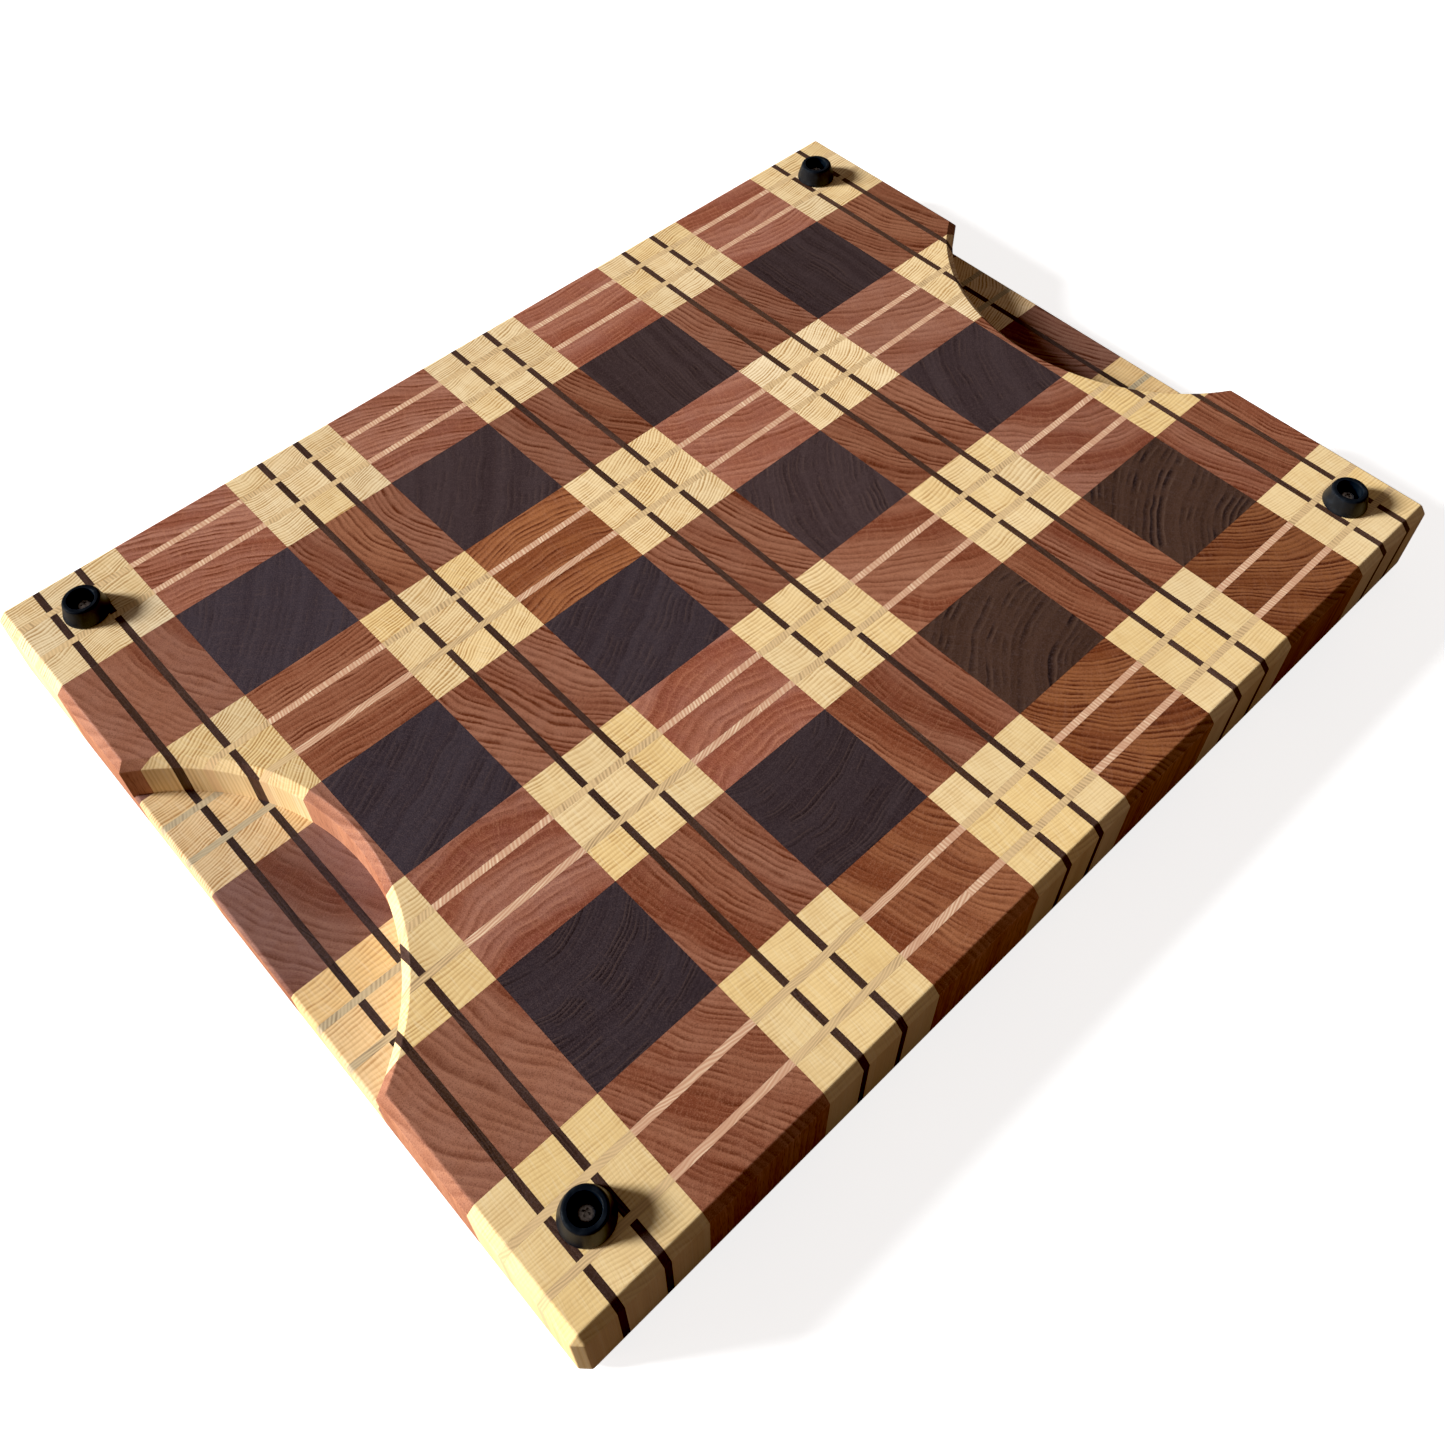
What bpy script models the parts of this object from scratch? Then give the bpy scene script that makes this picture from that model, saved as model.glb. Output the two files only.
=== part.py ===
"""End-grain plaid cutting board, lying on its cutting face with its rubber feet up.

Frame: metres, +Z up. X runs along the long side, Y along the short side. The origin is the centre of
the cutting face, which lies on Z = 0, so the underside, its two finger recesses and the feet face +Z.

The plaid repeats every two cells. A light band is three bars with two thin strips between them, and a
dark band is one wide block. Bands along X are the columns and bands along Y are the rows, and both start
and end light. Each bar, thin strip and block is one piece, cut to the outline of the finished board.
"""

import math

import bmesh
import bpy
from mathutils import Matrix, Vector

MM = 0.001

# Driving dimensions of the wood.
CELL = 50.8 * MM  # one square of the plaid
COLUMNS = 9  # cells along X
ROWS = 7  # cells along Y
STRIP = 2.8 * MM  # width of a thin strip
THICKNESS = 38.1 * MM
CHAMFER = 3.2 * MM  # 45 degree chamfer on every outer edge
GAP = 0.3 * MM  # clearance between neighbouring pieces
PAST = 5 * MM  # how far an uncut piece or a cutter runs past the finished outline

# Finger recess in each end, open to the underside.
RECESS_DEPTH = THICKNESS / 2
RECESS_RADIUS = 93.3 * MM  # of its upright wall, an arc in plan
RECESS_REACH = 45.8 * MM  # from the end of the board to the deepest point of the wall
RECESS_SIDES = 120  # of the full circle
FLOOR_CHAMFER = 1.2 * MM  # where the floor meets the end of the board

# Rubber feet, with heights above the underside.
FOOT_INSET = CELL / 2  # from both edges of the board to the foot's axis
FOOT_HEIGHT = 8.0 * MM
FOOT_BASE_RADIUS = 9.1 * MM
FOOT_TOP_RADIUS = 7.4 * MM
FOOT_ROUND = 1.1 * MM  # round on the outside of the top ring
SKIRT_HEIGHT = 1.2 * MM  # nearly upright band round the base
SKIRT_DRAFT = 0.1 * MM
WELL_RADIUS = 5.0 * MM
WELL_LIP = 0.5 * MM  # round between the top ring and the well
WELL_FLOOR_RADIUS = 4.7 * MM
WELL_FLOOR = 1.5 * MM
# The feet are screwed on by eye, so each stands a little off its corner square's centre.
FOOT_DRIFT = {
    "front_left": (0.0, 0.0),
    "front_right": (0.4 * MM, 0.2 * MM),
    "back_left": (1.8 * MM, 0.3 * MM),
    "back_right": (0.0, 0.3 * MM),
}
# How far each screw's cross stands from the X axis, in degrees.
SCREW_TURN = {"front_left": 24, "front_right": 61, "back_left": 8, "back_right": 43}

# Washer and screw in each foot.
WASHER_RADIUS = 4.3 * MM
WASHER_THICKNESS = 0.8 * MM
WASHER_BEVEL = 0.15 * MM
HEAD_RADIUS = 2.95 * MM
HEAD_HEIGHT = 1.8 * MM
HEAD_BAND = 0.6 * MM  # upright edge under the domed top
DOME_STEPS = 6
THREAD_CREST = 1.75 * MM
THREAD_ROOT = 1.25 * MM
THREAD_PITCH = 1.5 * MM
THREAD_TURNS = 6
NECK_LENGTH = 2.2 * MM  # plain length under the head
POINT_LENGTH = 3.0 * MM
CROSS_LENGTH = 3.3 * MM
CROSS_WIDTH = 0.8 * MM
CROSS_DEPTH = 1.1 * MM
CROSS_TAPER = (0.45, 0.75)  # length and width of a slot's bottom, as parts of its top's
CUTTER_PROUD = 0.2 * MM  # how far a slot's cutter stands above the head

TURNED_SIDES = 40
SCREW_SIDES = 24

LENGTH = COLUMNS * CELL
WIDTH = ROWS * CELL
BAR = (CELL - 2 * STRIP) / 3
SHANK_HOLE_RADIUS = THREAD_CREST + GAP
WASHER_BASE = WELL_FLOOR + GAP
HEAD_BASE = WASHER_BASE + WASHER_THICKNESS + GAP
PILOT_DEPTH = NECK_LENGTH + THREAD_TURNS * THREAD_PITCH + POINT_LENGTH - HEAD_BASE + 1 * MM

MATERIALS = {
    "maple": ((0.69, 0.49, 0.27), 0.55, 0.0),
    "red_hardwood": ((0.27, 0.10, 0.055), 0.50, 0.0),
    "dark_hardwood": ((0.051, 0.030, 0.029), 0.50, 0.0),
    "pale_strip": ((0.60, 0.37, 0.22), 0.55, 0.0),
    "rubber": ((0.012, 0.013, 0.015), 0.45, 0.0),
    "black_steel": ((0.03, 0.03, 0.03), 0.45, 1.0),
    "steel": ((0.55, 0.56, 0.57), 0.30, 1.0),
}

# Name and material of a dark row's blocks, in its dark and in its light columns.
DARK_ROW_BLOCKS = {
    "dark": ("dark_block", "dark_hardwood"),
    "light": ("striped_block", "red_hardwood"),
}


def clear_scene():
    for obj in list(bpy.data.objects):
        bpy.data.objects.remove(obj, do_unlink=True)


def new_material(name):
    colour, roughness, metallic = MATERIALS[name]
    material = bpy.data.materials.new(name)
    material.use_nodes = True
    shader = material.node_tree.nodes["Principled BSDF"]
    shader.inputs["Base Color"].default_value = (*colour, 1.0)
    shader.inputs["Roughness"].default_value = roughness
    shader.inputs["Metallic"].default_value = metallic
    return material


def new_object(name, mesh, material=None, location=(0, 0, 0), turn=0.0):
    obj = bpy.data.objects.new(name, mesh)
    obj.location = location
    obj.rotation_euler.z = turn
    if material and not mesh.materials:
        mesh.materials.append(material)
    bpy.context.scene.collection.objects.link(obj)
    return obj


def mesh_from(name, bm):
    bmesh.ops.recalc_face_normals(bm, faces=bm.faces)
    mesh = bpy.data.meshes.new(name)
    bm.to_mesh(mesh)
    bm.free()
    return mesh


def box_mesh(name, low, high, chamfer=0.0):
    bm = bmesh.new()
    bmesh.ops.create_cube(bm, size=1.0)
    low, high = Vector(low), Vector(high)
    bmesh.ops.scale(bm, vec=high - low, verts=bm.verts)
    bmesh.ops.translate(bm, vec=(low + high) / 2, verts=bm.verts)
    if chamfer:
        bmesh.ops.bevel(bm, geom=bm.edges[:], offset=chamfer, segments=1, affect="EDGES")
    return mesh_from(name, bm)


def turned_mesh(name, profile, sides=TURNED_SIDES, smooth=True):
    """Turns (radius, z) points round the Z axis. A profile that is off the axis closes into a ring."""
    bm = bmesh.new()
    verts = [bm.verts.new((radius, 0, z)) for radius, z in profile]
    on_axis = profile[0][0] == 0 and profile[-1][0] == 0
    pairs = list(zip(verts, verts[1:]))
    if not on_axis:
        pairs.append((verts[-1], verts[0]))
    edges = [bm.edges.new(pair) for pair in pairs]
    bmesh.ops.spin(
        bm,
        geom=verts + edges,
        cent=(0, 0, 0),
        axis=(0, 0, 1),
        angle=2 * math.pi,
        steps=sides,
        use_merge=True,
    )
    bmesh.ops.remove_doubles(bm, verts=bm.verts, dist=0.001 * MM)
    mesh = mesh_from(name, bm)
    if smooth:
        mesh.shade_smooth()
        mesh.set_sharp_from_angle(angle=math.radians(35))
    return mesh


def arc(centre, radius, start, end, steps):
    """(radius, z) points on an arc of the turned profile, from start to end degrees."""
    points = []
    for step in range(steps + 1):
        angle = math.radians(start + (end - start) * step / steps)
        points.append((centre[0] + radius * math.cos(angle), centre[1] + radius * math.sin(angle)))
    return points


def hide_helper(obj):
    obj.hide_render = True
    obj.display_type = "WIRE"
    return obj


def cut(obj, operation, cutter, name):
    modifier = obj.modifiers.new(name, "BOOLEAN")
    modifier.operation = operation
    modifier.solver = "EXACT"
    modifier.object = cutter


def applied_mesh(obj, name):
    """The object's mesh with its modifiers applied; the object itself is removed."""
    graph = bpy.context.evaluated_depsgraph_get()
    mesh = bpy.data.meshes.new_from_object(obj.evaluated_get(graph), depsgraph=graph)
    mesh.name = name
    bpy.data.objects.remove(obj, do_unlink=True)
    return mesh


def recess_cutter(side):
    """The space of one finger recess; side is -1 or +1 for the end at -X or +X.

    A turned drum with a 45 degree flare gives the wall and its chamfered rim. A prism gives the floor,
    which turns down by its own small chamfer where it reaches the end of the board.
    """
    floor = THICKNESS - RECESS_DEPTH
    rim = THICKNESS - CHAMFER
    flare = CHAMFER + PAST
    drum_bottom = floor - 2 * CHAMFER
    profile = [
        (0, drum_bottom),
        (RECESS_RADIUS, drum_bottom),
        (RECESS_RADIUS, rim),
        (RECESS_RADIUS + flare, rim + flare),
        (0, rim + flare),
    ]
    centre_x = side * (LENGTH / 2 - RECESS_REACH + RECESS_RADIUS)
    drum_mesh = turned_mesh("recess_drum", profile, RECESS_SIDES, smooth=False)
    drum = new_object("recess_drum", drum_mesh, location=(centre_x, 0, 0))
    edge = LENGTH / 2 - FLOOR_CHAMFER
    drop = FLOOR_CHAMFER + PAST / 2
    outline = [
        (side * (edge - 2 * RECESS_REACH), floor),
        (side * edge, floor),
        (side * (edge + drop), floor - drop),
        (side * (edge + drop), THICKNESS + 2 * PAST),
        (side * (edge - 2 * RECESS_REACH), THICKNESS + 2 * PAST),
    ]
    bm = bmesh.new()
    face = bm.faces.new([bm.verts.new((x, -WIDTH / 2, z)) for x, z in outline])
    extruded = bmesh.ops.extrude_face_region(bm, geom=[face])["geom"]
    moved = [item for item in extruded if isinstance(item, bmesh.types.BMVert)]
    bmesh.ops.translate(bm, vec=(0, WIDTH, 0), verts=moved)
    prism = hide_helper(new_object("recess_prism", mesh_from("recess_prism", bm)))
    cut(drum, "INTERSECT", prism, "floor")
    return hide_helper(drum)


def board_outline():
    """The finished board as one solid: every wooden piece is cut to it."""
    low = (-LENGTH / 2, -WIDTH / 2, 0)
    high = (LENGTH / 2, WIDTH / 2, THICKNESS)
    outline = new_object("board_outline", box_mesh("board_outline", low, high, CHAMFER))
    for side, name in ((-1, "left_recess"), (1, "right_recess")):
        cut(outline, "DIFFERENCE", recess_cutter(side), name)
    return hide_helper(outline)


def band_edges(cells, total, split_light):
    """(kind, number, letter, low, high) of each band across the board.

    A light band is one band, or with split_light it is its bars and the thin strips between them.
    """
    bands = []
    for cell in range(cells):
        start = -total / 2 + cell * CELL
        number = cell // 2 + 1
        if cell % 2:
            bands.append(("dark", number, "", start, start + CELL))
        elif not split_light:
            bands.append(("light", number, "", start, start + CELL))
        else:
            for index, letter in enumerate("abc"):
                low = start + index * (BAR + STRIP)
                bands.append(("bar", number, letter, low, low + BAR))
                if letter != "c":
                    bands.append(("strip", number, letter, low + BAR, low + BAR + STRIP))
    return bands


def inset_span(low, high, total):
    """A piece's span: half the gap comes off an inner side, and an outer side runs past the board."""
    at_start = math.isclose(low, -total / 2, abs_tol=MM / 10)
    at_end = math.isclose(high, total / 2, abs_tol=MM / 10)
    return (low - PAST if at_start else low + GAP / 2), (high + PAST if at_end else high - GAP / 2)


def wooden_piece(name, x_span, y_span, material, outline):
    x_low, x_high = inset_span(*x_span, LENGTH)
    y_low, y_high = inset_span(*y_span, WIDTH)
    centre = Vector(((x_low + x_high) / 2, (y_low + y_high) / 2, THICKNESS / 2))
    half = Vector(((x_high - x_low) / 2, (y_high - y_low) / 2, THICKNESS / 2 + PAST))
    piece = new_object(name, box_mesh(name, -half, half), material, location=centre)
    cut(piece, "INTERSECT", outline, "board_outline")
    return piece


def wooden_pieces(outline, materials):
    """Every bar, thin strip and block, by name."""
    pieces = {}
    whole = (-LENGTH / 2, LENGTH / 2)
    for row_kind, row, letter, y_low, y_high in band_edges(ROWS, WIDTH, split_light=True):
        y_span = (y_low, y_high)
        if row_kind == "bar":
            name = f"light_bar_{row}{letter}"
            pieces[name] = wooden_piece(name, whole, y_span, materials["maple"], outline)
        elif row_kind == "strip":
            name = f"thin_strip_{row}{letter}"
            pieces[name] = wooden_piece(name, whole, y_span, materials["pale_strip"], outline)
        else:
            for kind, column, _, x_low, x_high in band_edges(COLUMNS, LENGTH, split_light=False):
                label, wood = DARK_ROW_BLOCKS[kind]
                name = f"{label}_{row}_{column}"
                pieces[name] = wooden_piece(name, (x_low, x_high), y_span, materials[wood], outline)
    return pieces


def foot_places():
    """Corner name to the (x, y) of its foot's axis. Front is -Y and left is -X."""
    places = {}
    for corner, (drift_x, drift_y) in FOOT_DRIFT.items():
        side_x = -1 if corner.endswith("left") else 1
        side_y = -1 if corner.startswith("front") else 1
        places[corner] = (
            side_x * (LENGTH / 2 - FOOT_INSET) + drift_x,
            side_y * (WIDTH / 2 - FOOT_INSET) + drift_y,
        )
    return places


def foot_mesh():
    """A tapered rubber foot with a rounded top ring and a well, and a hole for the screw's shank."""
    top = FOOT_HEIGHT
    outer = arc((FOOT_TOP_RADIUS - FOOT_ROUND, top - FOOT_ROUND), FOOT_ROUND, 10, 90, 4)
    inner = arc((WELL_RADIUS + WELL_LIP, top - WELL_LIP), WELL_LIP, 90, 180, 3)
    profile = [
        (SHANK_HOLE_RADIUS, GAP),
        (FOOT_BASE_RADIUS, GAP),
        (FOOT_BASE_RADIUS - SKIRT_DRAFT, SKIRT_HEIGHT),
        *outer,
        *inner,
        (WELL_FLOOR_RADIUS, WELL_FLOOR),
        (SHANK_HOLE_RADIUS, WELL_FLOOR),
    ]
    return turned_mesh("rubber_foot", profile)


def washer_mesh():
    low, high = WASHER_BASE, WASHER_BASE + WASHER_THICKNESS
    profile = [
        (SHANK_HOLE_RADIUS, low),
        (WASHER_RADIUS, low),
        (WASHER_RADIUS, high - WASHER_BEVEL),
        (WASHER_RADIUS - WASHER_BEVEL, high),
        (SHANK_HOLE_RADIUS, high),
    ]
    return turned_mesh("foot_washer", profile)


def cross_cutter(turn):
    """One slot of the cross: a wedge that narrows towards its bottom."""
    top = HEAD_BASE + HEAD_HEIGHT + CUTTER_PROUD
    bottom = HEAD_BASE + HEAD_HEIGHT - CROSS_DEPTH
    bm = bmesh.new()
    bmesh.ops.create_cube(bm, size=1.0)
    for vert in bm.verts:
        at_bottom = vert.co.z < 0
        length_part, width_part = CROSS_TAPER if at_bottom else (1.0, 1.0)
        vert.co.x *= CROSS_LENGTH * length_part
        vert.co.y *= CROSS_WIDTH * width_part
        vert.co.z = bottom if at_bottom else top
    bmesh.ops.rotate(bm, matrix=Matrix.Rotation(turn, 3, "Z"), verts=bm.verts)
    return hide_helper(new_object("cross_cutter", mesh_from("cross_cutter", bm)))


def screw_mesh():
    """A pan head wood screw: domed head with a cross recess, plain neck, ridged thread and a point."""
    dome_base = HEAD_BASE + HEAD_BAND
    crown = HEAD_HEIGHT - HEAD_BAND
    profile = [(0, dome_base + crown)]
    for step in range(1, DOME_STEPS):
        angle = math.pi / 2 * (1 - step / DOME_STEPS)
        profile.append((HEAD_RADIUS * math.cos(angle), dome_base + crown * math.sin(angle)))
    profile += [(HEAD_RADIUS, dome_base), (HEAD_RADIUS, HEAD_BASE), (THREAD_ROOT, HEAD_BASE)]
    height = HEAD_BASE - NECK_LENGTH
    for _ in range(THREAD_TURNS):
        profile.append((THREAD_ROOT, height))
        profile.append((THREAD_CREST, height - THREAD_PITCH * 0.5))
        height -= THREAD_PITCH
    profile += [(THREAD_ROOT, height), (0, height - POINT_LENGTH)]
    screw = new_object("screw_blank", turned_mesh("screw_blank", profile, sides=SCREW_SIDES))
    cutters = [cross_cutter(0), cross_cutter(math.pi / 2)]
    for index, cutter in enumerate(cutters):
        cut(screw, "DIFFERENCE", cutter, f"cross_{index}")
    mesh = applied_mesh(screw, "foot_screw")
    for cutter in cutters:
        bpy.data.objects.remove(cutter, do_unlink=True)
    return mesh


def fit_feet(pieces, materials):
    """A foot, a washer and a screw at each corner, and the screw's pilot hole in the bar under it."""
    foot, washer, screw = foot_mesh(), washer_mesh(), screw_mesh()
    pilot_profile = [
        (0, -PILOT_DEPTH),
        (SHANK_HOLE_RADIUS, -PILOT_DEPTH),
        (SHANK_HOLE_RADIUS, PAST),
        (0, PAST),
    ]
    pilot = turned_mesh("pilot_hole", pilot_profile, sides=SCREW_SIDES, smooth=False)
    for corner, (x, y) in foot_places().items():
        place = (x, y, THICKNESS)
        new_object(f"rubber_foot_{corner}", foot, materials["rubber"], place)
        new_object(f"foot_washer_{corner}", washer, materials["black_steel"], place)
        turn = math.radians(SCREW_TURN[corner])
        new_object(f"foot_screw_{corner}", screw, materials["steel"], place, turn)
        hole = hide_helper(new_object(f"pilot_{corner}", pilot, location=place))
        row = 1 if corner.startswith("front") else ROWS // 2 + 1
        cut(pieces[f"light_bar_{row}b"], "DIFFERENCE", hole, f"pilot_{corner}")


def build():
    clear_scene()
    materials = {name: new_material(name) for name in MATERIALS}
    outline = board_outline()
    pieces = wooden_pieces(outline, materials)
    fit_feet(pieces, materials)


build()
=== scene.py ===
"""Looks of the end-grain plaid cutting board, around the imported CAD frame.

The board lies on its cutting face with its rubber feet up: metres, +Z up, X along the long side. Every
wooden node is built again as its glued blocks, a hairline apart and cut to the finished outline, so that
each block has its own growth rings. The rings are one solid texture per wood: they run round a pith axis
parallel to Z, so the faces show end grain and the sides show long grain without any further work.
"""

import math
import random
from dataclasses import dataclass

import bmesh
import bpy
from mathutils import Matrix, Vector

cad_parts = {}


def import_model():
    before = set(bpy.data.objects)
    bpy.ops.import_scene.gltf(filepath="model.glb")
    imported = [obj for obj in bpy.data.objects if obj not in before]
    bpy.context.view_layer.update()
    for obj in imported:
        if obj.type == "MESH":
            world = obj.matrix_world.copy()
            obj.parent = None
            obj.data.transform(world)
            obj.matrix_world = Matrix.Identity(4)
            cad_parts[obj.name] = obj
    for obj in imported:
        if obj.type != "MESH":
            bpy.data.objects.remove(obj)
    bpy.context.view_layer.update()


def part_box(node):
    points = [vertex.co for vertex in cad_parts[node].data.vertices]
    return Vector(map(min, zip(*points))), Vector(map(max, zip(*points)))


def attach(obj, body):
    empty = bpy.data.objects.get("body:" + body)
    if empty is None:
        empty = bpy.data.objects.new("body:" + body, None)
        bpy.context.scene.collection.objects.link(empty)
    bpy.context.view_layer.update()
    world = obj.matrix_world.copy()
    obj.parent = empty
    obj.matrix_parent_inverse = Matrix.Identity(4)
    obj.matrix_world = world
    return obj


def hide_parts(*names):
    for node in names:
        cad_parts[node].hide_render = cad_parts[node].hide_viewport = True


MM = 0.001

# The plaid of equal squares, here called cells, as in the frame. Light cells are maple.
COLUMNS = 9
ROWS = 7
FRAME_GAP = 0.3 * MM  # between neighbouring nodes
GLUE_LINE = 0.04 * MM  # between neighbouring blocks
PAST = 5 * MM  # how far an uncut block or a cutter runs past the finished outline

# The finished outline, as in the frame.
CHAMFER = 3.2 * MM
RECESS_RADIUS = 93.3 * MM
RECESS_REACH = 45.8 * MM
RECESS_SIDES = 360
FLOOR_CHAMFER = 1.2 * MM
EASED = 0.4 * MM  # sanded round on every arris
CLEAR = 0.03 * MM  # keeps a cutter's edge off the plane that it meets

# Feet and screws, with heights above the underside.
FOOT_TOP_RADIUS = 7.4 * MM
FOOT_ROUND = 1.1 * MM
FOOT_TOE = 0.3 * MM  # round where the foot meets the board
CONE_START = 1.2 * MM
CONE_INSET = 0.08 * MM
WELL_RADIUS = 5.0 * MM
WELL_LIP = 0.5 * MM
WELL_FOOT_RADIUS = 4.75 * MM
WELL_CORNER = 0.4 * MM
WELL_FLOOR = 1.5 * MM
FIT = 0.3 * MM  # clearance round a screw and under a washer
WASHER_THICKNESS = 0.8 * MM
WASHER_EDGE = 0.18 * MM
HEAD_HEIGHT = 1.8 * MM
HEAD_BAND = 0.6 * MM  # upright part of the head, under its dome
HEAD_EDGE = 0.15 * MM
DOME_STEPS = 12
THREAD_CREST = 1.75 * MM
THREAD_ROOT = 1.25 * MM
THREAD_PITCH = 1.5 * MM
THREAD_TURNS = 6
THREAD_STEPS = 10  # rings of points for each turn
RIDGE_WIDTH = 0.45  # of the thread, as a share of half its pitch
NECK_LENGTH = 2.2 * MM
POINT_LENGTH = 3.0 * MM
CROSS_LENGTH = 3.3 * MM
CROSS_WIDTH = 0.8 * MM
CROSS_DEPTH = 1.1 * MM
CROSS_RISE = 0.2 * MM  # how far the cutter stands over the head
CROSS_TAPER = (0.45, 0.75)  # length and width at the bottom, as shares of those at the top
SCREW_TURN = {"front_left": 24, "front_right": 61, "back_left": 8, "back_right": 43}
TURNED_SIDES = 96
SCREW_SIDES = 48
PILOT_SIDES = 32
SHARP = 30  # degrees between faces where smooth shading stops
SCREW_SHARP = 35

CORNERS = ("front_left", "front_right", "back_left", "back_right")

# The textures of the woods: scales are waves per millimetre, reaches are millimetres.
GRAIN_SEED = 7
SEED_STRIDE = 37.0  # millimetres between the textures of blocks with neighbouring seeds
DRAWN_OUT = 0.06  # of Z, so that patterns are drawn out along the grain
WANDER_SCALE, WANDER_REACH = 0.035, 8.0
RIPPLE_SCALE, RIPPLE_REACH = 0.14, 1.3
FADE_SCALE = 0.11
MOTTLE_SCALE = 0.09
RAY_STRETCH = 0.12  # of the radius, so that rays are long
MILLED_BELOW = 25.0  # millimetres above the cutting face: a level face lower than this is a recess's floor
OILED = (0.33, 0.47)  # roughness of the level faces
DULLER = 0.3  # what milled and upright faces add to it
GRAIN_DEPTH = 0.03 * MM
GRAIN_STRENGTH = 0.35
OIL_IOR = 1.46

SUN_PLACE = (-2.03, 1.74, 1.29)
SUN_ANGLE = 14
SUN_COLOUR = (0.97, 0.99, 1.0)
DAYLIGHT = 6.8  # strength of the diffuse light, and
GLEAM = 0.5  # of the reflections
WINDOW_PLACE = (-1.6, 1.2, 0.14)
WINDOW_POWER = 26
WINDOW_COLOUR = (1.0, 0.97, 0.94)
WINDOW_SIZE = (1.5, 0.26)
ROOM_COLOUR = (1.0, 0.78, 0.66)
ROOM_STRENGTH = 0.14
FLOOR_REACH = 6.0
FLOOR_DROP = 0.5 * MM

CAMERA_PLACE = (-0.2551, -0.2672, 0.4859)
CAMERA_TURN = (38.688, 0.156, -43.241)
CAMERA_LENS = 36.092
CAMERA_SHIFT_Y = -0.1
BLACK_LEVEL = 0.008  # what the camera shows as black


@dataclass
class Grain:
    """How the rings run across a block, seen from above its end grain."""

    lean: float  # of the ring lines from +X, in degrees
    bow: float  # millimetres to the pith, on the left of the lean when positive
    pitch: float  # millimetres from ring to ring
    contrast: float = 0.6
    tone: float = 1.0  # lighter above 1
    warmth: float = 0.5  # 0 is the wood's cool end, 1 its warm end
    sway: float = 1.0  # how far the rings wander


@dataclass
class Block:
    wood: str
    low: Vector
    high: Vector
    grain: Grain


# Red blocks of the light rows, front row first and left to right.
RED_CELL_GRAIN = (
    (
        Grain(-58, 110, 2.3, 0.65, 0.79, 0.38),
        Grain(-69, 110, 2.3, 0.65, 0.76, 0.77),
        Grain(-42, 66, 2.1, 1.00, 0.65, 1.00),
        Grain(-40, 66, 2.1, 1.00, 0.56, 1.00),
    ),
    (
        Grain(-4, -60, 3.6, 0.45, 0.96, 0.02, 1.6),
        Grain(0, -50, 3.6, 0.40, 1.18, 0.03, 1.6),
        Grain(-32, 64, 3, 0.50, 0.85, 0.39, 1.3),
        Grain(-34, 64, 3, 0.50, 0.85, 0.19, 1.3),
    ),
    (
        Grain(-4, 320, 2.1, 0.85, 0.84, 0.51),
        Grain(-3, -85, 2.2, 0.80, 0.80, 1.00),
        Grain(-22, 130, 3, 0.50, 1.14, 0.06, 1.3),
        Grain(-27, 90, 3.2, 0.45, 0.85, 0.18, 1.3),
    ),
    (
        Grain(-27, -260, 2.5, 0.75, 1.05, 0.08),
        Grain(-26, -95, 2.5, 0.75, 0.97, 0.11),
        Grain(-2, 140, 2.8, 0.50, 1.17, 0.05, 1.3),
        Grain(-6, 140, 2.8, 0.50, 1.14, 0.05, 1.3),
    ),
)

# Dark squares, front row first and left to right. The left squares have low warmth, so they carry more of
# the painted purple sheen.
DARK_SQUARE_GRAIN = (
    (
        Grain(12, 58, 1.6, 0.80, 0.84, 0.10),
        Grain(6, 70, 1.6, 0.70, 0.84, 0.16),
        Grain(24, -85, 2.9, 1.00, 0.95, 0.88),
        Grain(28, -95, 2.9, 1.00, 0.94, 0.91),
    ),
    (
        Grain(26, 260, 2.4, 0.45, 0.97, 0.00),
        Grain(28, 260, 2.4, 0.45, 0.97, 0.07),
        Grain(58, -90, 2.4, 0.60, 1.08, 0.33),
        Grain(60, -120, 2.4, 0.55, 0.96, 0.26),
    ),
    (
        Grain(48, 220, 3, 0.35, 1.07, 0.00),
        Grain(50, 260, 3, 0.35, 0.99, 0.26),
        Grain(84, -300, 1.8, 0.55, 0.89, 0.34),
        Grain(88, -300, 1.8, 0.55, 0.81, 0.29),
    ),
)

# The rest of each row, front row first.
MAPLE_GRAIN = (
    Grain(-4, 140, 1.3, 0.36, 0.97, 0.70, 0.5),
    Grain(-1, 90, 1.7, 0.60, 1.00, 0.60, 0.8),
    Grain(10, 80, 1.35, 0.95, 1.02, 0.60, 1.0),
    Grain(4, 80, 1.35, 0.90, 1.00, 0.40, 1.2),
)
# Light cells, front row first and left to right: (tone, warmth) beside the row's own.
MAPLE_CELL_LOOK = (
    ((0.95, 0.25), (0.98, 0.30), (1.01, 0.15), (1.02, 0.05), (1.04, 0.05)),
    ((0.92, 0.20), (0.98, 0.20), (1.01, 0.20), (1.03, 0.05), (0.97, 0.40)),
    ((0.88, 0.15), (1.00, 0.10), (1.03, 0.00), (1.09, -0.35), (1.05, -0.20)),
    ((0.93, -0.20), (0.98, 0.05), (1.00, 0.00), (1.01, 0.15), (1.01, 0.10)),
)
MAPLE_LAST_LEAN = (0, 3, 14, 7)  # what a light cell's third bar leans more than its first
RED_STRIPE_GRAIN = (
    Grain(-77, 120, 2.4, 0.75, 0.80, 0.40, 0.9),
    Grain(-64, 90, 2.8, 0.95, 0.75, 0.40, 1.0),
    Grain(-72, 90, 2.6, 0.80, 0.72, 0.40, 0.9),
)
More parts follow.
